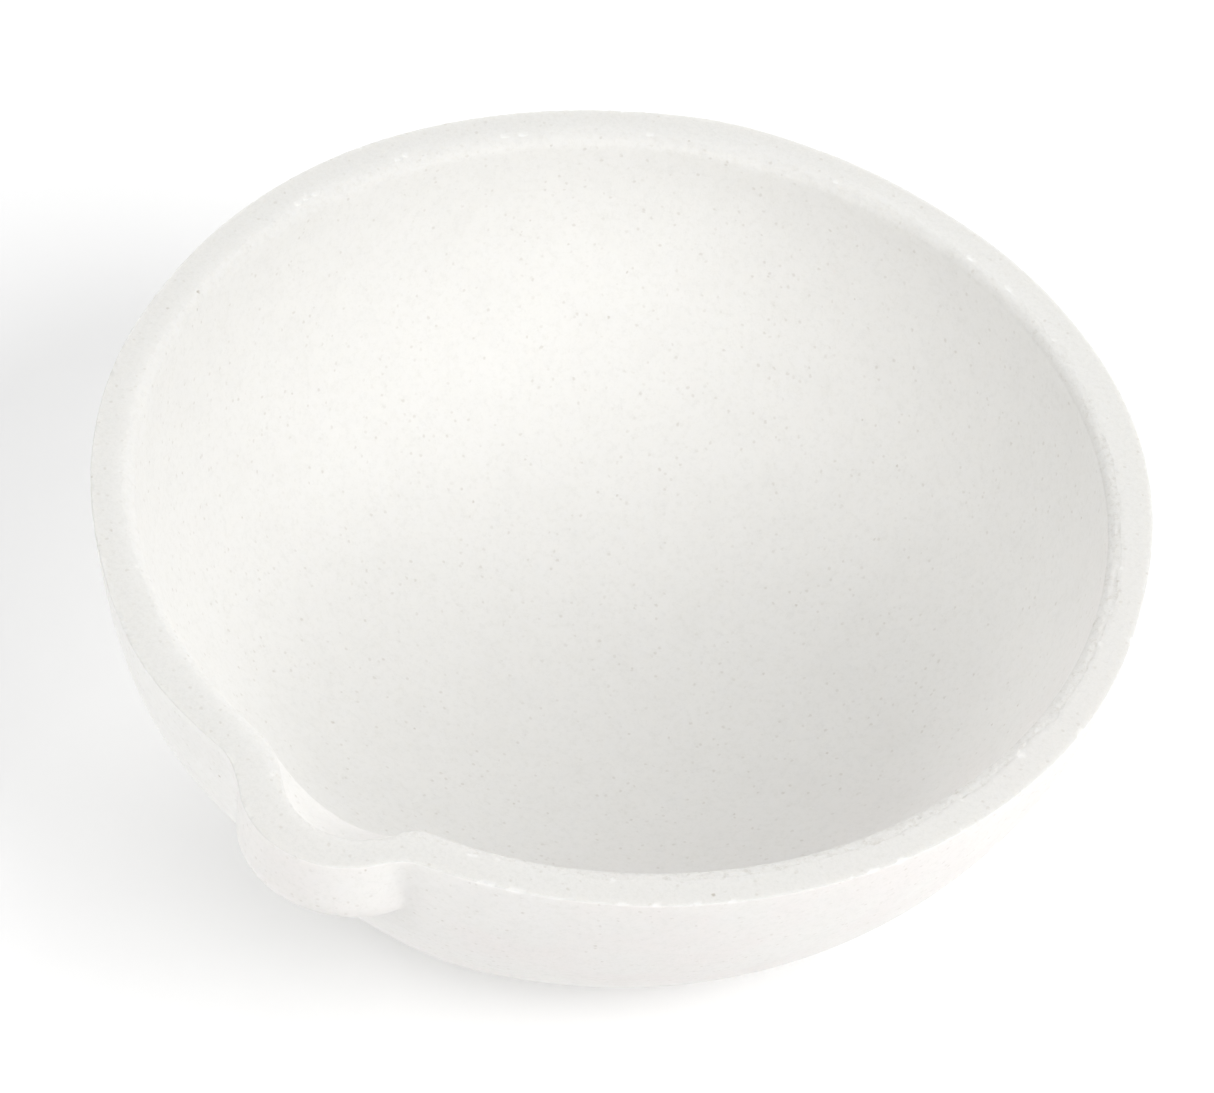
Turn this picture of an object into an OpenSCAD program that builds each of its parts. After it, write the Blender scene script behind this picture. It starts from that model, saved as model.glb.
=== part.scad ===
// Melting dish of fused silica: a round bowl with an even wall, a ground flat rim and a pressed-out spout.
// It stands on its foot at z = 0, the bowl's axis is Z, and the spout points along -Y. Millimetres.

/* [Bowl] */
// Outside diameter of the rim
rim_d = 105; // [80:1:140]
// Height from the foot to the rim
dish_h = 42; // [33:1:56]
// Diameter of the flat foot
foot_d = 47; // [36:1:60]
// Thickness of the bowl's side wall
wall_t = 4.3; // [3:0.1:6]
// Thickness of the floor at its centre
floor_t = 4.6; // [3:0.1:8]
// How much larger the radius of the floor's inside curve is than that of the wall's
floor_flattening = 22; // [5:1:60]
// Radius of the inside bend between the wall and the floor
bend_r = 30; // [15:1:34]

/* [Rim] */
// Width of the rough chamfer inside the rim
chamfer_w = 1.3; // [0.4:0.1:2]
// Depth of that chamfer below the rim face
chamfer_h = 0.7; // [0.2:0.1:1.5]

/* [Spout] */
// How far the spout's tip stands out past the rim circle
spout_reach = 5.25; // [3.5:0.25:8]
// Outside radius of the spout's nose, seen from above
spout_r = 10; // [8:0.5:13]
// Height of the spout's outside, from its underside to the rim face
spout_h = 9; // [6:0.5:14]
// Rounding of the spout's underside edge
underside_round = 4; // [1:0.5:5]
// Radius of the hollow corners where the spout's sides meet the bowl
side_fillet_r = 2; // [0.5:0.25:4]

/* [Pouring channel] */
// Wall left in front of the channel, at the spout's tip
tip_wall_t = 4; // [3:0.1:6]
// Radius of the channel's end at the rim face, seen from above
channel_r = 7.9; // [5:0.1:9]
// Depth of the channel where it leaves the bowl's inside wall
channel_depth = 5; // [3:0.25:8]
// Width of the channel's chamfer at the rim face
channel_chamfer = 0.6; // [0.2:0.1:1]

/* [Hidden] */
$fn = 96;
silica_white = [0.94, 0.94, 0.92];

// Cuts run this far past the face that they open
over = 1;

// The outside is one ball through the rim circle and the foot circle
rim_r = rim_d / 2;
foot_r = foot_d / 2;
ball_z = (rim_r * rim_r - foot_r * foot_r + dish_h * dish_h) / (2 * dish_h);
ball_r = sqrt(foot_r * foot_r + ball_z * ball_z);

// The inside wall is a ball on the same centre, a flatter ball gives the floor, and a bend joins the two smoothly
inner_ball_r = ball_r - wall_t;
floor_curve_r = inner_ball_r + floor_flattening;
floor_curve_z = floor_t + floor_curve_r;
bend_from_wall_centre = inner_ball_r - bend_r;
bend_from_floor_centre = floor_curve_r - bend_r;
centres_apart = floor_curve_z - ball_z;
wall_end_angle = 180 - acos((bend_from_wall_centre * bend_from_wall_centre + centres_apart * centres_apart
    - bend_from_floor_centre * bend_from_floor_centre) / (2 * bend_from_wall_centre * centres_apart));
bend_centre = [0, ball_z] + bend_from_wall_centre * down_and_out(wall_end_angle);
floor_end_angle = asin(bend_centre[0] / bend_from_floor_centre);

// The spout's nose and the channel's end are round about upright axes on the line x = 0
nose_y = -(rim_r + spout_reach - spout_r);
channel_y = -(rim_r + spout_reach - tip_wall_t - channel_r);
channel_entry = -channel_y - circle_of_ball_at(inner_ball_r, dish_h);
channel_ball_rise = (channel_r * channel_r - channel_entry * channel_entry - channel_depth * channel_depth)
    / (2 * channel_depth);
channel_ball_r = sqrt(channel_r * channel_r + channel_ball_rise * channel_ball_rise);

// Each hollow corner is a circle that touches the rim circle and the nose circle
corner_from_axis = rim_r + side_fillet_r;
corner_from_nose = spout_r + side_fillet_r;
corner_angle = acos((nose_y * nose_y + corner_from_axis * corner_from_axis
    - corner_from_nose * corner_from_nose) / (2 * -nose_y * corner_from_axis));
nose_from_corner = nose_y * [sin(corner_angle), cos(corner_angle)];

// The corners lean inwards as the bowl's side does over the spout's height
underside_z = dish_h - spout_h;
bowl_r_at_underside = circle_of_ball_at(ball_r, underside_z);
corner_lean = atan((rim_r - bowl_r_at_underside) / spout_h);

// Direction at an angle out from straight down, in a profile of radius and height
function down_and_out(angle) = [sin(angle), -cos(angle)];

// Radius at height z of a ball of radius r on the bowl's centre
function circle_of_ball_at(r, z) = sqrt(r * r - (ball_z - z) * (ball_z - z));

// The bowl's outside, cut flat at the foot and at the rim
module bowl_outside() {
    intersection() {
        translate([0, 0, ball_z]) sphere(r = ball_r);
        cylinder(h = dish_h, r = ball_r + over);
    }
}

// A round boss whose underside edge is rounded off
module nose() {
    translate([0, nose_y, underside_z])
        rotate_extrude() {
            square([spout_r - underside_round, spout_h]);
            translate([0, underside_round]) square([spout_r, spout_h - underside_round]);
            intersection() {
                translate([spout_r - underside_round, underside_round]) circle(r = underside_round);
                square([spout_r, spout_h]);
            }
        }
}

// The web that fills one corner, seen from above and turned so that the corner lies straight out along -Y
module corner_web() {
    difference() {
        polygon([nose_from_corner, [0, -corner_from_axis], [0, wall_t - rim_r]]);
        translate([0, -corner_from_axis]) circle(r = side_fillet_r);
    }
}

// One corner web, leaning in with the bowl's side from its place on the rim circle
module leaning_web() {
    rotate([0, 0, corner_angle])
        translate([0, -rim_r, dish_h])
            rotate([corner_lean, 0, 0])
                translate([0, rim_r, -spout_h])
                    linear_extrude(height = spout_h + over) corner_web();
}

// Both corner webs, tapered so that they run out into the bowl's side where the nose's straight sides end
module side_fillets() {
    web_end_z = underside_z + underside_round;
    intersection() {
        for (side = [0, 1]) mirror([side, 0, 0]) leaning_web();
        translate([0, 0, web_end_z])
            cylinder(h = dish_h - web_end_z, r1 = circle_of_ball_at(ball_r, web_end_z), r2 = rim_r + spout_reach);
    }
}

// A slice of a disc in the profile, between two angles out from straight down, on the side away from the axis
module profile_slice(centre_z, r, from_angle, to_angle) {
    reach = 2 * r;
    mid_angle = (from_angle + to_angle) / 2;
    intersection() {
        translate([0, centre_z]) circle(r = r);
        translate([0, centre_z])
            polygon([
                [0, 0],
                reach * down_and_out(from_angle),
                reach * down_and_out(mid_angle),
                reach * down_and_out(to_angle)
            ]);
    }
}

// The whole disc of the bend lies inside the other two discs and touches each of them once
module bend_disc() {
    intersection() {
        translate(bend_centre) circle(r = bend_r);
        square([bend_centre[0] + bend_r + over, bend_centre[1] + bend_r + over]);
    }
}

// The hollow of the bowl: floor, bend and wall share their tangents where they meet
module bowl_inside() {
    rotate_extrude() {
        profile_slice(floor_curve_z, floor_curve_r, 0, floor_end_angle);
        bend_disc();
        profile_slice(ball_z, inner_ball_r, wall_end_angle, 180);
    }
}

// The scoop that leads from the bowl's inside to the spout's tip, with its floor rising outwards
module pouring_channel() {
    translate([0, channel_y, dish_h + channel_ball_rise]) sphere(r = channel_ball_r);
}

// A conical cut that widens upwards from radius r_low, by width over height
module edge_chamfer(r_low, width, height) {
    slope = width / height;
    translate([0, 0, dish_h - height])
        cylinder(h = height + over, r1 = r_low, r2 = r_low + slope * (height + over));
}

module dish() {
    color(silica_white)
    difference() {
        union() {
            bowl_outside();
            nose();
            side_fillets();
        }
        bowl_inside();
        pouring_channel();
        edge_chamfer(circle_of_ball_at(inner_ball_r, dish_h), chamfer_w, chamfer_h);
        translate([0, channel_y, 0]) edge_chamfer(channel_r, channel_chamfer, channel_chamfer);
    }
}

dish();
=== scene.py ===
"""The melting dish's looks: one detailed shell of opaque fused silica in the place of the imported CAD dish, a
pale floor, soft studio light and the camera.

The shell is made of rings of points. Each ring's radius is found where a ray from the bowl's axis meets the
dish's outside or inside, so the spout and its channel blend into the bowl as they do on a cast piece.
Lengths in the shape code are in millimetres and become metres when the mesh is made.
"""
import math

import bpy
import numpy as np
from mathutils import Matrix, Vector


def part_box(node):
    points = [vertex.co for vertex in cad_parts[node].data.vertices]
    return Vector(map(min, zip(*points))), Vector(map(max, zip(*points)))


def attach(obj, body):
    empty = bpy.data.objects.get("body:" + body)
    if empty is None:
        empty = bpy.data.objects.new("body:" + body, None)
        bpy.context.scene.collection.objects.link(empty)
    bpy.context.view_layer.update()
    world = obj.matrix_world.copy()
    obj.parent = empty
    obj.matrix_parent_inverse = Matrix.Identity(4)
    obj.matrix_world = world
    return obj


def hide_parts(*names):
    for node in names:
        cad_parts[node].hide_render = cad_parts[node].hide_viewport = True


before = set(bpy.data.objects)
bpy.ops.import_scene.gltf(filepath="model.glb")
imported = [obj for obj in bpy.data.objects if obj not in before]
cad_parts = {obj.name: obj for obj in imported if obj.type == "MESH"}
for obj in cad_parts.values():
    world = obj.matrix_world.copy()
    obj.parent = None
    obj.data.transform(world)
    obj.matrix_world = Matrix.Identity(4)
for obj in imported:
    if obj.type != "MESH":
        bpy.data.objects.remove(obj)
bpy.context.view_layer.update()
MM = 0.001

# ---------------------------------------------------------------- sizes, in millimetres
node_low, node_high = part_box("dish")
RIM_R = (node_high.x - node_low.x) / 2 / MM
DISH_H = node_high.z / MM
TIP_Y = -node_low.y / MM

FOOT_R = 23.5
# The foot's edge curls up by the second value over the width of the first
FOOT_ROUND_W, FOOT_ROUND_H = 1.1, 0.25
WALL_T = 4.3
FLOOR_T = 4.6
FLOOR_FLATTENING = 22
BEND_R = 30

SPOUT_R = 10
SPOUT_H = 9.2
UNDERSIDE_TILT = math.radians(10)
UNDERSIDE_ROUND = 3.6
# Hollow corners between the spout and the bowl, and the least share of their radius that is left lower down
CORNER_LEFT_R, CORNER_RIGHT_R = 2.6, 1.7
CORNER_FADE_H, CORNER_LEAST_SHARE = 6.0, 0.3
TIP_WALL_T = 4
CHANNEL_R = 7.9
CHANNEL_DEPTH = 5.2
CHANNEL_OFFSET = 0.5
# Rounded folds between the channel and the bowl's hollow, which tighten downwards in the same way
FOLD_LEFT_R, FOLD_RIGHT_R = 3.6, 1.2
FOLD_FADE_H, FOLD_LEAST_SHARE = 5.0, 0.55
# Distance across the spout over which the left side's radii become the right side's
SIDE_CHANGE_W = 8

# The rim: rounding of its outer edge, then the lip from the ground flat down to the inside wall. The lip is
# sharp, stepped and rough round one azimuth and soft elsewhere, and it is narrower at the spout.
EDGE_R = 0.14
LIP_W = 1.45
LIP_H_SHARP, LIP_H_SOFT = 0.65, 1.5
SHARP_AZIMUTH, SHARP_HALF_WIDTH = 75, 78
LIP_SHARE_AT_SPOUT, SPOUT_HALF_WIDTH = 0.5, 8
STEP_SHARE, STEP_H = 0.2, 0.13
# Where the lip is soft, this share of the ground look is lost over the flat's width and the rest over the lip
SOFT_FADE = 0.5

# Slow unevenness of the cast wall and of the ground flat, then the fine roughness of ground and broken silica
OUTER_WAVE, INNER_WAVE, FLAT_WAVE = 0.05, 0.07, 0.02
# The inside's waves are full only this far out from the bowl's axis
INNER_WAVE_R = 20
EDGE_ROUGH, FLAT_ROUGH, LIP_ROUGH = 0.012, 0.012, 0.035
LIP_W_WANDER, LIP_W_ROUGH = 0.1, 0.07
# A soft lip keeps the least share of its roughness, and a point moves sideways by a share of its rise
LEAST_ROUGH_SHARE, SIDEWAYS_SHARE = 0.3, 0.3
# Random values past the start make pits in the lip
PIT_START, PIT_DEPTH = 1.2, 0.09
# How far the edge's end, the flat and the lip's start lie under the nominal rim height
EDGE_DROP, FLAT_DROP, LIP_DROP = 0.02, 0.02, 0.03

# Uneven places of the outside: azimuth and half width in degrees, then height in millimetres
RIM_PLACES = ((110, 10, -0.3), (138, 14, 0.27), (175, 9, -0.2), (202, 8, 0.33), (246, 11, 0.17),
              (276, 9, -0.22), (-27, 11, 0.65))
BELLY_PLACES = ((50, 24, -0.35), (14, 9, 0.4), (-30, 13, 0.35))
BELLY_GAIN = 2.6

# Chips of the rim: azimuth in degrees, radius of the scoop, its depth and its stretch along the rim
EDGE_CHIPS = ((19.0, 0.55, 0.16, 1.6), (19.9, 0.45, 0.14, 1.2), (22.2, 0.7, 0.24, 1.2),
              (23.0, 0.5, 0.2, 1.4), (33.4, 0.5, 0.12, 1.8), (37.0, 0.55, 0.16, 1.2),
              (41.0, 0.5, 0.12, 1.7), (44.8, 0.45, 0.13, 1.3), (60.2, 0.6, 0.14, 1.8),
              (63.6, 0.7, 0.18, 1.3), (90.6, 0.7, 0.24, 1.2), (105.1, 0.5, 0.16, 1.2),
              (-33.6, 0.6, 0.18, 1.2), (-32.6, 0.45, 0.14, 1.3), (-31.2, 0.65, 0.2, 1.4))
LIP_CHIPS = ((-103.9, 0.4, 0.12, 1.6), (-105.3, 0.5, 0.14, 1.3), (-106.6, 0.35, 0.1, 2.0),
             (-118.2, 0.4, 0.12, 1.6), (-119.4, 0.35, 0.1, 1.4), (-132.0, 0.4, 0.12, 2.2),
             (-134.1, 0.35, 0.1, 1.8), (84, 0.5, 0.14, 1.4))
# Tiny chips at random places, and the angle up from level at which chips of the edge and the lip are struck
SMALL_EDGE_CHIPS, SMALL_LIP_CHIPS = 16, 16
SMALL_RADII, SMALL_DEPTHS, SMALL_STRETCHES = (0.2, 0.4), (0.04, 0.08), (1, 2)
EDGE_STRIKE, LIP_STRIKE, STRIKE_SPREAD = 50, 80, (-25, 10)

# ---------------------------------------------------------------- the profile of the bowl
BALL_Z = (RIM_R ** 2 - FOOT_R ** 2 + DISH_H ** 2) / (2 * DISH_H)
BALL_R = math.hypot(FOOT_R, BALL_Z)
INNER_R = BALL_R - WALL_T
FLOOR_R = INNER_R + FLOOR_FLATTENING
FLOOR_Z = FLOOR_T + FLOOR_R


def bend_place():
    """Centre of the inside bend, and the angles out from straight down at which wall and floor meet it."""
    to_wall, to_floor, apart = INNER_R - BEND_R, FLOOR_R - BEND_R, FLOOR_Z - BALL_Z
    cosine = (to_wall ** 2 + apart ** 2 - to_floor ** 2) / (2 * to_wall * apart)
    wall_end = math.pi - math.acos(cosine)
    r, z = to_wall * math.sin(wall_end), BALL_Z - to_wall * math.cos(wall_end)
    return r, z, wall_end, math.asin(r / to_floor)


BEND_X, BEND_Z, WALL_END, FLOOR_END = bend_place()

NOSE_Y = -(TIP_Y - SPOUT_R)
CHANNEL_Y = -(TIP_Y - TIP_WALL_T - CHANNEL_R)
channel_entry = -CHANNEL_Y - math.sqrt(INNER_R ** 2 - (BALL_Z - DISH_H) ** 2)
CHANNEL_RISE = (CHANNEL_R ** 2 - channel_entry ** 2 - CHANNEL_DEPTH ** 2) / (2 * CHANNEL_DEPTH)
CHANNEL_BALL_R = math.hypot(CHANNEL_R, CHANNEL_RISE)


# ---------------------------------------------------------------- distance fields
# Halvings of the range in which a ray meets a surface
HALVINGS = 32


def round_union(a, b, r):
    """Union of two distance fields with a fillet of radius r where they meet."""
    return np.maximum(r, np.minimum(a, b)) - np.hypot(np.maximum(r - a, 0), np.maximum(r - b, 0))


def round_cut(a, b, r):
    """Intersection of two distance fields with an edge rounded to radius r."""
    return np.minimum(-r, np.maximum(a, b)) + np.hypot(np.maximum(r + a, 0), np.maximum(r + b, 0))


def by_side(x, left, right):
    """A value that goes evenly from one at the spout's left to another at its right."""
    share = np.clip(x / SIDE_CHANGE_W + 0.5, 0, 1)
    return left + (right - left) * share


def tighter(z, depth, least):
    """Share of a fillet's radius left at height z: all of it at the rim, the least share below that depth."""
    return least + (1 - least) * np.clip((z - DISH_H) / depth + 1, 0, 1)


def outside_field(x, y, z):
    """Distance outside the dish's outer surface, with no regard to its foot or rim."""
    ball = np.sqrt(x ** 2 + y ** 2 + (z - BALL_Z) ** 2) - BALL_R
    side = np.hypot(x, y - NOSE_Y) - SPOUT_R
    under = -(y + TIP_Y) * math.sin(UNDERSIDE_TILT) - (z - DISH_H + SPOUT_H) * math.cos(UNDERSIDE_TILT)
    nose = round_cut(side, under, UNDERSIDE_ROUND)
    corner_r = by_side(x, CORNER_LEFT_R, CORNER_RIGHT_R) * tighter(z, CORNER_FADE_H, CORNER_LEAST_SHARE)
    return round_union(ball, nose, corner_r)


def inside_field(x, y, z):
    """Distance into the silica from the bowl's hollow and its pouring channel."""
    r = np.hypot(x, y)
    at_wall = np.arctan2(r, BALL_Z - z) > WALL_END
    at_floor = np.arctan2(r, FLOOR_Z - z) < FLOOR_END
    wall = np.hypot(r, z - BALL_Z) - INNER_R
    floor = np.hypot(r, z - FLOOR_Z) - FLOOR_R
    bend = np.hypot(r - BEND_X, z - BEND_Z) - BEND_R
    hollow = np.where(at_wall, wall, np.where(at_floor, floor, bend))
    channel = np.sqrt((x - CHANNEL_OFFSET) ** 2 + (y - CHANNEL_Y) ** 2
                      + (z - DISH_H - CHANNEL_RISE) ** 2) - CHANNEL_BALL_R
    fold_r = by_side(x, FOLD_LEFT_R, FOLD_RIGHT_R) * tighter(z, FOLD_FADE_H, FOLD_LEAST_SHARE)
    return round_union(hollow, channel, fold_r)


def along_rays(field, start_z, drop, azimuths, nearest, farthest):
    """How far out along each ray the field turns positive. A ray leaves the axis and falls by drop."""
    out_x, out_y = np.sin(azimuths), -np.cos(azimuths)
    near = np.full(azimuths.shape, float(nearest))
    far = np.full(azimuths.shape, float(farthest))
    for _ in range(HALVINGS):
        mid = (near + far) / 2
        r = mid * math.cos(drop)
        inside = field(r * out_x, r * out_y, start_z - mid * math.sin(drop)) < 0
        near, far = np.where(inside, mid, near), np.where(inside, far, mid)
    return (near + far) / 2


# ---------------------------------------------------------------- rings
# Points in a full ring, in the wall's finest rings, in its other rings, and near the middle
RING_POINTS, WALL_POINTS, BOWL_POINTS, MIDDLE_POINTS = 1440, 720, 360, 180
SPOUT_DENSITY, SPOUT_SPREAD = 1.7, math.radians(13)
FINE_AZIMUTHS = 20001
# Rings at and above this height are level. Lower ones lie on cones round the axis point at that height.
TURN_Z = 30.0
OUTER_NEAREST, INNER_NEAREST, FARTHEST = 15, 1, 75
# Heights of the outside's lowest ring and of its full rings under the rim, then of the inside's last fine
# ring, and the fall in radians past which the inside's rings have fewer points
LOWEST_Z, RIM_LEVELS = 1.2, (40.2, 40.8, 41.25, 41.6)
INNER_FINE_Z, MIDDLE_DROP = 33.5, 1.2
# The lip ends this far below its own height
LIP_END_DROP = 0.05
# Places in the list of rim rings: the outer edge's last ring and the lip's first
EDGE_RING, LIP_RING = 8, 16


def ring_azimuths():
    """Azimuths of a full ring, from -180 to 180 degrees with 0 at the spout, closer together there."""
    fine = np.linspace(-math.pi, math.pi, FINE_AZIMUTHS)
    weight = 1 + SPOUT_DENSITY * np.exp(-(fine / SPOUT_SPREAD) ** 2)
    total = np.concatenate([[0], np.cumsum((weight[1:] + weight[:-1]) / 2)])
    steps = np.linspace(0, total[-1], RING_POINTS, endpoint=False)
    return np.interp(steps, total, fine)


AZIMUTHS = ring_azimuths()


def thin(points):
    """Every so many azimuths, to leave that number of points."""
    return AZIMUTHS[::RING_POINTS // points]


def uneven(azimuths, places):
    """Sum of soft bulges and dents round the dish."""
    total = np.zeros(azimuths.shape)
    for centre, half_width, height in places:
        away = (np.degrees(azimuths) - centre + 180) % 360 - 180
        total = total + height * np.exp(-(away / half_width) ** 2)
    return total


def slow_waves(azimuths, level, seed):
    """Smooth unevenness of a cast wall, about one high, over azimuth and a level that runs from 0 to 1."""
    draw = np.random.default_rng(seed)
    total = np.zeros(azimuths.shape)
    for turns in (3, 4, 5, 7, 9):
        phase, lean = draw.uniform(0, 2 * math.pi), draw.uniform(-3, 3)
        total = total + np.sin(turns * azimuths + phase + lean * level) / turns ** 0.5
    return total * 0.6


def jitter(seed, smoothing=1):
    """Random values round a full ring, about one high, each averaged with its neighbours."""
    values = np.random.default_rng(seed).normal(size=RING_POINTS)
    for _ in range(smoothing):
        values = (np.roll(values, 1) + 2 * values + np.roll(values, -1)) / 4
    return values / values.std()


def ring(azimuths, r, z, ground=0.0, lip=0.0):
    """One ring of points, with how much of it is ground and how much of it is the rough lip."""
    x, y = r * np.sin(azimuths), -r * np.cos(azimuths)
    return {"co": np.column_stack([x, y, z * np.ones_like(x)]), "ground": ground * np.ones_like(x),
            "lip": lip * np.ones_like(x)}


def outer_ring(points, start_z, drop=0.0):
    """A ring on the outside. The rim's uneven places fade downwards; the belly's are fullest half way up."""
    az = thin(points)
    d = along_rays(outside_field, start_z, drop, az, OUTER_NEAREST, FARTHEST)
    z = start_z - d * math.sin(drop)
    level = z / DISH_H
    r = d * math.cos(drop) + OUTER_WAVE * slow_waves(az, level, seed=11) * (1 - level ** 4)
    r = r + uneven(az, RIM_PLACES) * level ** 2
    r = r + uneven(az, BELLY_PLACES) * BELLY_GAIN * level * (1 - level ** 3)
    return ring(az, r, z)


def inner_ring(points, start_z, drop=0.0):
    """A ring on the inside, whose waves fade out towards the bowl's axis."""
    az = thin(points)
    d = along_rays(inside_field, start_z, drop, az, INNER_NEAREST, FARTHEST)
    z = start_z - d * math.sin(drop)
    waves = INNER_WAVE * slow_waves(az, np.minimum(z, DISH_H) / DISH_H, seed=23)
    return ring(az, d * math.cos(drop) + waves * np.minimum(1, d / INNER_WAVE_R) * math.cos(drop), z)


def foot_rings():
    """The flat foot, from its middle to its rounded edge."""
    shares = (0.04, 0.12, 0.25, 0.4, 0.55, 0.7, 0.82, 0.91)
    rings = [ring(thin(MIDDLE_POINTS), FOOT_R * share, 0.0) for share in shares]
    for step in (0.0, 0.35, 0.7, 1.0):
        rings.append(ring(thin(BOWL_POINTS), FOOT_R - FOOT_ROUND_W * (1 - step), FOOT_ROUND_H * step ** 2))
    return rings


def sharpness(azimuths):
    """How sharp and rough the lip is: fully on the near and right side, little at the far left."""
    away = (np.degrees(azimuths) - SHARP_AZIMUTH + 180) % 360 - 180
    return np.exp(-(away / SHARP_HALF_WIDTH) ** 4)


def lip_height(azimuths):
    """Height of the whole lip at each azimuth."""
    return LIP_H_SOFT + (LIP_H_SHARP - LIP_H_SOFT) * sharpness(azimuths)


def lip_fall(share, azimuths):
    """Depth of the lip below the flat: a small step and a slope where it's sharp, a roll where it's soft."""
    height, sharp = lip_height(azimuths), sharpness(azimuths)
    slope = (height - STEP_H) * np.clip((share - STEP_SHARE) / (1 - STEP_SHARE), 0, 1) ** 2
    stepped = STEP_H * min(share / STEP_SHARE, 1) + slope
    return sharp * stepped + (1 - sharp) * height * (1 - math.sqrt(1 - share ** 2))


def rim_rings(outer, inner):
    """Rings across the rim: the rounded outer edge, the ground flat and the lip down to the inside wall."""
    az = AZIMUTHS
    out_r, in_r = np.hypot(*outer["co"][:, :2].T), np.hypot(*inner["co"][:, :2].T)
    at_spout = np.exp(-(np.degrees(az) / SPOUT_HALF_WIDTH) ** 4)
    lip_w = LIP_W * (1 - (1 - LIP_SHARE_AT_SPOUT) * at_spout) * (1 + LIP_W_WANDER * jitter(5, 40))
    lip_w = lip_w + LIP_W_ROUGH * jitter(6, 2)
    flat_from, flat_to = out_r - EDGE_R, in_r + lip_w
    sharp = sharpness(az)
    rings = [outer]
    for step in np.linspace(0, 1, 5)[1:]:
        angle = step * math.pi / 2
        rough = EDGE_ROUGH * jitter(30 + len(rings))
        r = out_r - EDGE_R * (1 - math.cos(angle)) + rough
        z = DISH_H - EDGE_R + EDGE_R * math.sin(angle) - EDGE_DROP + rough * step
        rings.append(ring(az, r, z, ground=1))
    for step in np.linspace(0, 1, 8)[1:]:
        fall = FLAT_DROP + FLAT_ROUGH * np.abs(jitter(50 + len(rings))) + FLAT_WAVE * slow_waves(az, 0, 31)
        r, ground = flat_from + (flat_to - flat_from) * step, 1 - (1 - sharp) * SOFT_FADE * step ** 2
        rings.append(ring(az, r, DISH_H - np.maximum(fall, 0), ground=ground))
    harsh = LEAST_ROUGH_SHARE + (1 - LEAST_ROUGH_SHARE) * sharp
    for share in (0.08, 0.16, 0.26, 0.4, 0.55, 0.7, 0.83, 0.93):
        rough = LIP_ROUGH * jitter(70 + len(rings)) * min(1, 4 * share) * harsh
        pits = np.maximum(jitter(90 + len(rings)) - PIT_START, 0) * PIT_DEPTH * harsh
        z = DISH_H - LIP_DROP - lip_fall(share, az) + rough - pits
        ground = 1 - (1 - sharp) * (SOFT_FADE + (1 - SOFT_FADE) * share)
        rings.append(ring(az, flat_to - lip_w * share + SIDEWAYS_SHARE * rough, z, ground=ground, lip=harsh))
    rings.append(inner)
    return rings


def scoop_chip(rings, r, strike, degrees, radius, depth, stretch):
    """Push the points that lie inside one chip's ball, stretched along the rim, out onto its surface."""
    a, lean = math.radians(degrees), math.radians(strike)
    out, along = np.array([math.sin(a), -math.cos(a), 0]), np.array([math.cos(a), math.sin(a), 0])
    away = out * math.cos(lean) + np.array([0, 0, math.sin(lean)])
    corner = out * (r - 0.3 * EDGE_R) + np.array([0, 0, DISH_H - 0.3 * EDGE_R])
    centre = corner + away * (radius - depth)
    for g in rings:
        from_centre = g["co"] - centre
        run = (from_centre @ along)[:, None] * along
        squeezed = from_centre - run * (1 - 1 / stretch)
        size = np.linalg.norm(squeezed, axis=1)
        hit = size < radius
        g["co"][hit] = centre + from_centre[hit] * (radius / size[hit])[:, None]
        g["chip"] = np.maximum(g.get("chip", 0), hit.astype(float))


def scoop_chips(rings):
    """Press shell-shaped chips into the rim's outer edge and into the step of its lip."""
    draw = np.random.default_rng(3)
    ranges = ((-180, 180), SMALL_RADII, SMALL_DEPTHS, SMALL_STRETCHES)
    small = [tuple(draw.uniform(*limits) for limits in ranges)
             for _ in range(SMALL_EDGE_CHIPS + SMALL_LIP_CHIPS)]
    edge_r, lip_r = (np.hypot(*rings[k]["co"][:, :2].T) for k in (EDGE_RING, LIP_RING))
    edge_chips = EDGE_CHIPS + tuple(small[:SMALL_EDGE_CHIPS])
    lip_chips = LIP_CHIPS + tuple(small[SMALL_EDGE_CHIPS:])
    for ring_r, past, strike, chips in ((edge_r, EDGE_R, EDGE_STRIKE, edge_chips),
                                        (lip_r, 0, LIP_STRIKE, lip_chips)):
        for degrees, radius, depth, stretch in chips:
            r = np.interp(math.radians(degrees), AZIMUTHS, ring_r, period=2 * math.pi) + past
            scoop_chip(rings, r, strike + draw.uniform(*STRIKE_SPREAD), degrees, radius, depth, stretch)


def build_rings():
    """All rings in order, from the foot's centre out, up the outside, over the rim and down the inside."""
    rings = foot_rings()
    low_drop = math.atan2(TURN_Z - LOWEST_Z, math.sqrt(BALL_R ** 2 - (BALL_Z - LOWEST_Z) ** 2))
    rings += [outer_ring(BOWL_POINTS, TURN_Z, drop) for drop in np.linspace(low_drop, 0, 32)[:-1]]
    rings += [outer_ring(WALL_POINTS, z) for z in np.linspace(TURN_Z, RIM_LEVELS[0], 25)[:-1]]
    rim = [outer_ring(RING_POINTS, z) for z in RIM_LEVELS + (DISH_H - EDGE_R,)]
    lip_low = DISH_H - LIP_END_DROP - lip_height(AZIMUTHS)
    rim = rim[:-1] + rim_rings(rim[-1], inner_ring(RING_POINTS, lip_low))
    scoop_chips(rim)
    rings += rim
    lip_low = lip_low[::RING_POINTS // WALL_POINTS]
    for share in np.linspace(0, 1, 19)[1:]:
        rings.append(inner_ring(WALL_POINTS, lip_low + (INNER_FINE_Z - lip_low) * share))
    rings += [inner_ring(BOWL_POINTS, z) for z in np.linspace(INNER_FINE_Z, TURN_Z, 5)[1:]]
    for drop in np.linspace(0, math.pi / 2, 46)[1:-1]:
        rings.append(inner_ring(BOWL_POINTS if drop < MIDDLE_DROP else MIDDLE_POINTS, TURN_Z, drop))
    return rings


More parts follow.
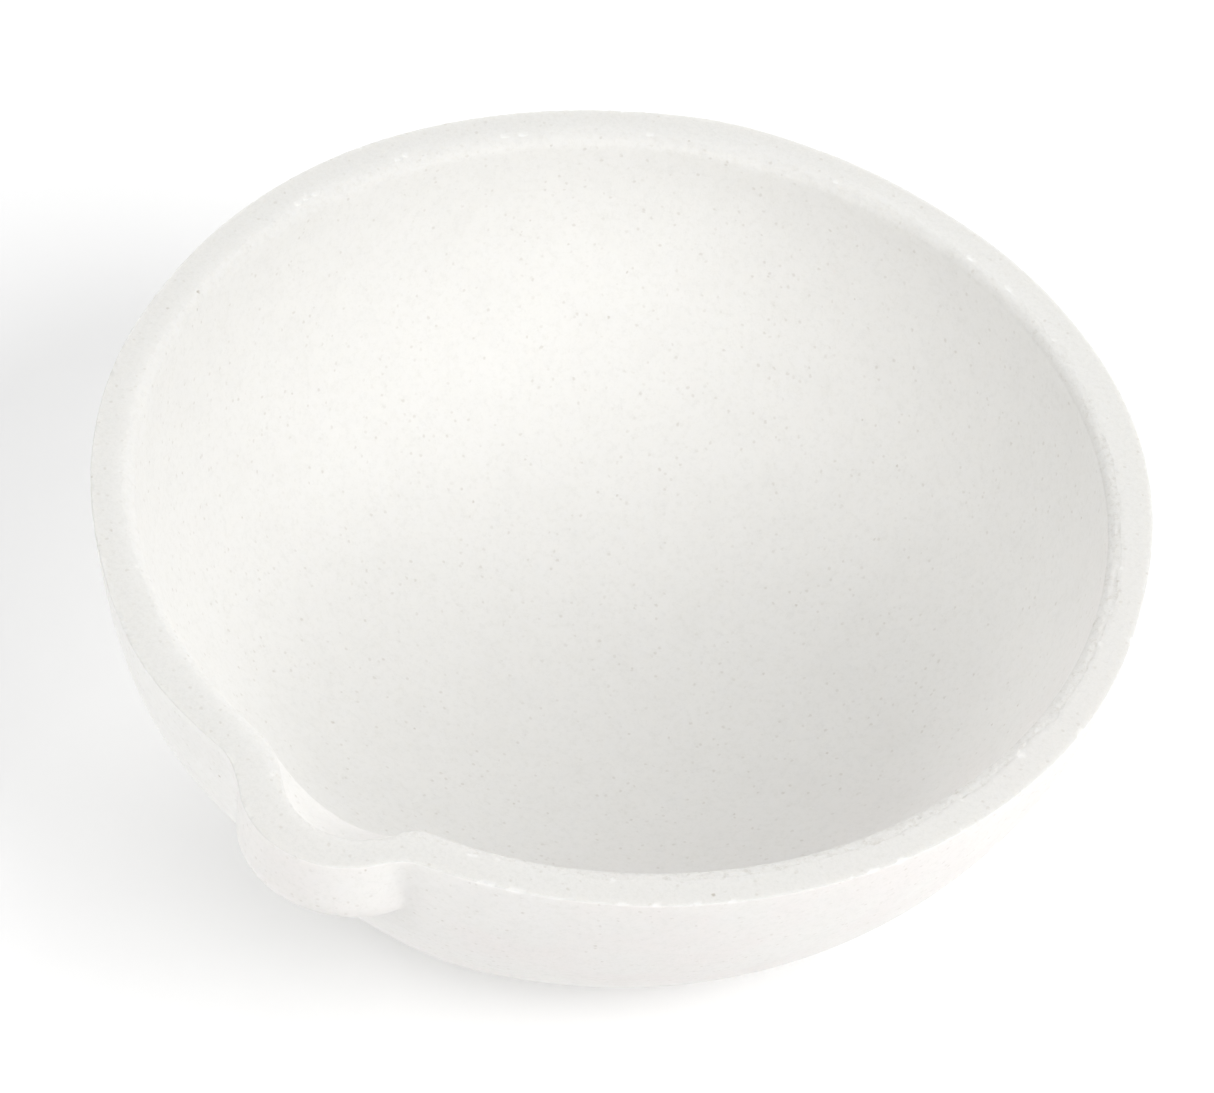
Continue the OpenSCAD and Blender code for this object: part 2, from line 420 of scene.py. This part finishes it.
def stitch(rings):
    """Faces between neighbouring rings, one of which may have half as many points as the other."""
    sizes = [len(g["co"]) for g in rings]
    starts = np.cumsum([0] + sizes)
    faces = []
    for j in range(len(rings) - 1):
        a, b, na, nb = starts[j], starts[j + 1], sizes[j], sizes[j + 1]
        if na == nb:
            i = np.arange(na)
            k = (i + 1) % na
            faces += np.column_stack([a + i, a + k, b + k, b + i]).tolist()
        elif nb == 2 * na:
            for i in range(na):
                k, m = (i + 1) % na, 2 * i
                faces += [[a + i, b + m + 1, b + m], [a + i, a + k, b + m + 1],
                          [a + k, b + (m + 2) % nb, b + m + 1]]
        elif na == 2 * nb:
            for i in range(nb):
                k, m = (i + 1) % nb, 2 * i
                faces += [[b + i, a + m, a + m + 1], [b + k, b + i, a + m + 1],
                          [b + k, a + m + 1, a + (m + 2) % na]]
        else:
            raise ValueError(f"rings of {na} and {nb} points can't be joined")
    first, last = starts[-1], starts[-1] + 1
    n = sizes[0]
    faces += [[first, (i + 1) % n, i] for i in range(n)]
    base, n = starts[-2], sizes[-1]
    faces += [[last, base + i, base + (i + 1) % n] for i in range(n)]
    return faces


def build_dish(material):
    """The one piece: a closed mesh that rides on the root body and stands for the CAD node."""
    rings = build_rings()
    co = np.vstack([g["co"] for g in rings] + [[[0, 0, 0.0]], [[0, 0, FLOOR_T]]])
    mesh = bpy.data.meshes.new("dish_shell")
    mesh.from_pydata((co * MM).tolist(), [], stitch(rings))
    for name in ("ground", "lip", "chip"):
        values = np.concatenate([g.get(name, np.zeros(len(g["co"]))) for g in rings] + [[0.0, 0.0]])
        mesh.attributes.new(name, "FLOAT", "POINT").data.foreach_set("value", values.astype(np.float32))
    mesh.polygons.foreach_set("use_smooth", np.ones(len(mesh.polygons), bool))
    mesh.materials.append(material)
    mesh.validate()
    mesh.update()
    dish = bpy.data.objects.new("silica_dish", mesh)
    bpy.context.scene.collection.objects.link(dish)
    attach(dish, "root")
    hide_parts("dish")
    return dish


# ---------------------------------------------------------------- material
def add(tree, kind, inputs, **settings):
    """Add a node. An input is given by its name or number, and is a value or another node's output."""
    node = tree.nodes.new(kind)
    for name, value in settings.items():
        setattr(node, name, value)
    for name, value in inputs.items():
        if isinstance(value, bpy.types.NodeSocket):
            tree.links.new(value, node.inputs[name])
        else:
            node.inputs[name].default_value = value
    return node


def noise(tree, place, size_mm, detail=2.0, roughness=0.5):
    """Noise whose features are about that size."""
    return add(tree, "ShaderNodeTexNoise", {"Vector": place, "Scale": 1000 / size_mm, "Detail": detail,
                                            "Roughness": roughness}).outputs[0]


def ramp(tree, value, start, end, low=0.0, high=1.0):
    """Map a value smoothly from start..end to low..high."""
    return add(tree, "ShaderNodeMapRange", {"Value": value, "From Min": start, "From Max": end, "To Min": low,
                                            "To Max": high}, interpolation_type="SMOOTHSTEP").outputs[0]


def times(tree, a, b):
    """Product of two values."""
    return add(tree, "ShaderNodeMath", {0: a, 1: b}, operation="MULTIPLY").outputs[0]


def blend(tree, share, a, b):
    """Blend two colours."""
    return add(tree, "ShaderNodeMix", {0: share, 6: a, 7: b}, data_type="RGBA").outputs[2]


def specks(tree, place, cell_mm, radius_share, chosen_share):
    """Small round spots of differing strength, one in some of the cells of that size."""
    cells = add(tree, "ShaderNodeTexVoronoi", {"Vector": place, "Scale": 1000 / cell_mm, "Randomness": 1.0})
    spot = ramp(tree, cells.outputs["Distance"], radius_share, radius_share * 0.3)
    pick = add(tree, "ShaderNodeSeparateColor", {0: cells.outputs["Color"]})
    return times(tree, spot, ramp(tree, pick.outputs[0], 1 - chosen_share, 1.0))


# Colours of the silica: cast wall, its shaded and rosy places, ground rim and its dust, dark flecks of the
# lip, specks and fresh chips
WHITE, SHADE, ROSE = (0.80, 0.794, 0.774, 1), (0.69, 0.684, 0.656, 1), (0.80, 0.772, 0.755, 1)
GROUND, DUST, LIP_FLECK = (0.69, 0.685, 0.662, 1), (0.63, 0.625, 0.6, 1), (0.52, 0.49, 0.44, 1)
SPECK, CHIP = (0.42, 0.38, 0.32, 1), (0.88, 0.88, 0.87, 1)
GROUND_SHARE, CHIP_SHARE = 0.7, 0.35
# Towards the rosy side; its length sets how fast the tint grows, per metre
ROSY_SIDE = (18.0, -12.0, 0.0)
# Specks: size of their cells in millimetres, radius as a share of that, share of the cells, and strength
SPECKS = ((0.8, 0.32, 0.45, 0.26), (1.9, 0.115, 0.45, 0.42), (6.0, 0.045, 0.5, 0.85))
# Specks are bent out of round by noise of this size and depth
BEND_MM, BEND_DEPTH = 0.4, 0.0003
CHIP_ROUGHNESS = 0.3


def silica_material():
    """Matt speckled silica. Attributes tell the cast wall, the ground rim, the lip and the chips apart."""
    material = bpy.data.materials.new("fused_silica")
    material.use_nodes = True
    tree = material.node_tree
    shader = tree.nodes["Principled BSDF"]
    place = add(tree, "ShaderNodeTexCoord", {}).outputs["Object"]
    ground, lip, chip = (add(tree, "ShaderNodeAttribute", {}, attribute_name=name).outputs["Fac"]
                         for name in ("ground", "lip", "chip"))

    # colour: warm white with a rosy side, mottling and grain, a greyer ground rim, then the specks and chips
    side = add(tree, "ShaderNodeVectorMath", {0: place, 1: ROSY_SIDE}, operation="DOT_PRODUCT")
    cloudy = ramp(tree, noise(tree, place, 9, detail=2), 0.35, 0.65, low=0.3)
    rosy = times(tree, ramp(tree, side.outputs["Value"], 0.2, 1.0), cloudy)
    mottle = ramp(tree, noise(tree, place, 5, detail=4, roughness=0.65), 0.42, 0.75, high=0.14)
    grain = ramp(tree, noise(tree, place, 0.75, detail=5, roughness=0.85), 0.44, 0.72, high=0.42)
    dust = ramp(tree, noise(tree, place, 0.5, detail=4, roughness=0.85), 0.4, 0.72, high=0.5)
    # darker brownish flecks from noise, strongest where the lip is roughest
    lip_flecks = ramp(tree, noise(tree, place, 0.8, detail=4, roughness=0.8), 0.5, 0.68, high=0.42)
    colour = blend(tree, rosy, WHITE, ROSE)
    colour = blend(tree, mottle, colour, SHADE)
    colour = blend(tree, times(tree, ground, GROUND_SHARE), colour, GROUND)
    colour = blend(tree, grain, colour, SHADE)
    colour = blend(tree, times(tree, ground, dust), colour, DUST)
    colour = blend(tree, times(tree, lip, lip_flecks), colour, LIP_FLECK)
    wavy = add(tree, "ShaderNodeTexNoise", {"Vector": place, "Scale": 1000 / BEND_MM, "Detail": 1.0})
    bent = add(tree, "ShaderNodeVectorMath", {0: wavy.outputs["Color"], 1: (BEND_DEPTH,) * 3, 2: place},
               operation="MULTIPLY_ADD").outputs[0]
    for cell_mm, radius_share, chosen_share, strength in SPECKS:
        spots = specks(tree, bent, cell_mm, radius_share, chosen_share)
        colour = blend(tree, times(tree, spots, strength), colour, SPECK)
    colour = blend(tree, times(tree, chip, CHIP_SHARE), colour, CHIP)
    tree.links.new(colour, shader.inputs["Base Color"])

    # surface: matt, bumpier on the lip and glassy in the chips
    rough = ramp(tree, noise(tree, place, 1.5, detail=3), 0.3, 0.7, low=0.72, high=0.9)
    rough = add(tree, "ShaderNodeMix", {0: chip, 2: rough, 3: CHIP_ROUGHNESS}).outputs[0]
    tree.links.new(rough, shader.inputs["Roughness"])
    fine = noise(tree, place, 0.35, detail=3, roughness=0.7)
    fine_bump = add(tree, "ShaderNodeBump", {"Strength": 0.25, "Distance": 0.00006, "Height": fine})
    at_lip = ramp(tree, lip, 0, 1, low=0.15)
    coarse = times(tree, noise(tree, place, 0.7, detail=4, roughness=0.75), at_lip)
    bump = add(tree, "ShaderNodeBump", {"Strength": 0.5, "Distance": 0.00015, "Height": coarse,
                                        "Normal": fine_bump.outputs[0]})
    tree.links.new(bump.outputs[0], shader.inputs["Normal"])
    shader.inputs["Specular IOR Level"].default_value = 0.3
    shader.inputs["Subsurface Weight"].default_value = 0.35
    shader.inputs["Subsurface Radius"].default_value = (1.0, 0.95, 0.85)
    shader.inputs["Subsurface Scale"].default_value = 0.0012
    return material


def floor_material():
    """Plain matt near-white."""
    material = bpy.data.materials.new("pale_floor")
    material.use_nodes = True
    shader = material.node_tree.nodes["Principled BSDF"]
    shader.inputs["Base Color"].default_value = (0.97, 0.97, 0.97, 1)
    shader.inputs["Roughness"].default_value = 0.9
    return material


# ---------------------------------------------------------------- floor, light and camera
# The floor's half width, and how far it lies below the foot so that the two faces don't coincide, in metres
FLOOR_HALF, FLOOR_GAP = 6.0, 0.00002

# Soft lights: azimuth and elevation in degrees, distance and diameter in metres, power in watts
SOFT_LIGHTS = {"key": (92, 38, 0.9, 0.75, 6.9), "fill": (-26, 36, 0.9, 0.8, 4.5),
               "back": (-150, 21, 0.9, 0.8, 5.3)}
SKY_STRENGTH = 0.25

# The camera fitted to the photograph: degrees, metres, the point that it looks at, and millimetres of lens
CAMERA_AZIMUTH, CAMERA_ELEVATION, CAMERA_ROLL = 28.5, 48.37, 6.94
CAMERA_DISTANCE = 0.63
AIM = Vector((3.05, -7.68, DISH_H)) * MM
LENS = 191.1


def build_floor():
    """A plain square floor just under the foot."""
    mesh = bpy.data.meshes.new("floor")
    corners = [(x * FLOOR_HALF, y * FLOOR_HALF, -FLOOR_GAP) for x, y in ((-1, -1), (1, -1), (1, 1), (-1, 1))]
    mesh.from_pydata(corners, [], [(0, 1, 2, 3)])
    mesh.materials.append(floor_material())
    floor = bpy.data.objects.new("floor", mesh)
    bpy.context.scene.collection.objects.link(floor)


def direction(azimuth, elevation):
    """Unit vector towards a place seen at that azimuth and elevation; azimuth 0 is on the spout's side."""
    a, e = math.radians(azimuth), math.radians(elevation)
    return Vector((math.sin(a) * math.cos(e), -math.cos(a) * math.cos(e), math.sin(e)))


def soft_light(name, azimuth, elevation, distance, size, power):
    """A disc light that faces the middle of the rim."""
    data = bpy.data.lights.new(name, "AREA")
    data.shape = "DISK"
    data.size = size
    data.energy = power
    light = bpy.data.objects.new(name, data)
    bpy.context.scene.collection.objects.link(light)
    towards = direction(azimuth, elevation)
    light.location = Vector((0, 0, DISH_H * MM)) + towards * distance
    light.rotation_mode = "QUATERNION"
    light.rotation_quaternion = towards.to_track_quat("Z", "Y")


def build_world():
    """An even white sky."""
    world = bpy.data.worlds.new("studio")
    bpy.context.scene.world = world
    world.use_nodes = True
    background = world.node_tree.nodes["Background"]
    background.inputs["Color"].default_value = (1, 1, 1, 1)
    background.inputs["Strength"].default_value = SKY_STRENGTH


def build_camera():
    """The camera, at the photograph's angle."""
    data = bpy.data.cameras.new("camera")
    data.lens = LENS
    data.sensor_width = 36
    data.clip_start, data.clip_end = 0.01, 20
    camera = bpy.data.objects.new("camera", data)
    bpy.context.scene.collection.objects.link(camera)
    back = direction(CAMERA_AZIMUTH, CAMERA_ELEVATION)
    roll = Matrix.Rotation(math.radians(CAMERA_ROLL), 4, "Z")
    turn = back.to_track_quat("Z", "Y").to_matrix().to_4x4() @ roll
    camera.matrix_world = Matrix.Translation(AIM + back * CAMERA_DISTANCE) @ turn
    bpy.context.scene.camera = camera


build_camera()
build_world()
for light_name, placing in SOFT_LIGHTS.items():
    soft_light(light_name, *placing)
build_floor()
build_dish(silica_material())
bpy.context.scene.view_settings.view_transform = "Standard"
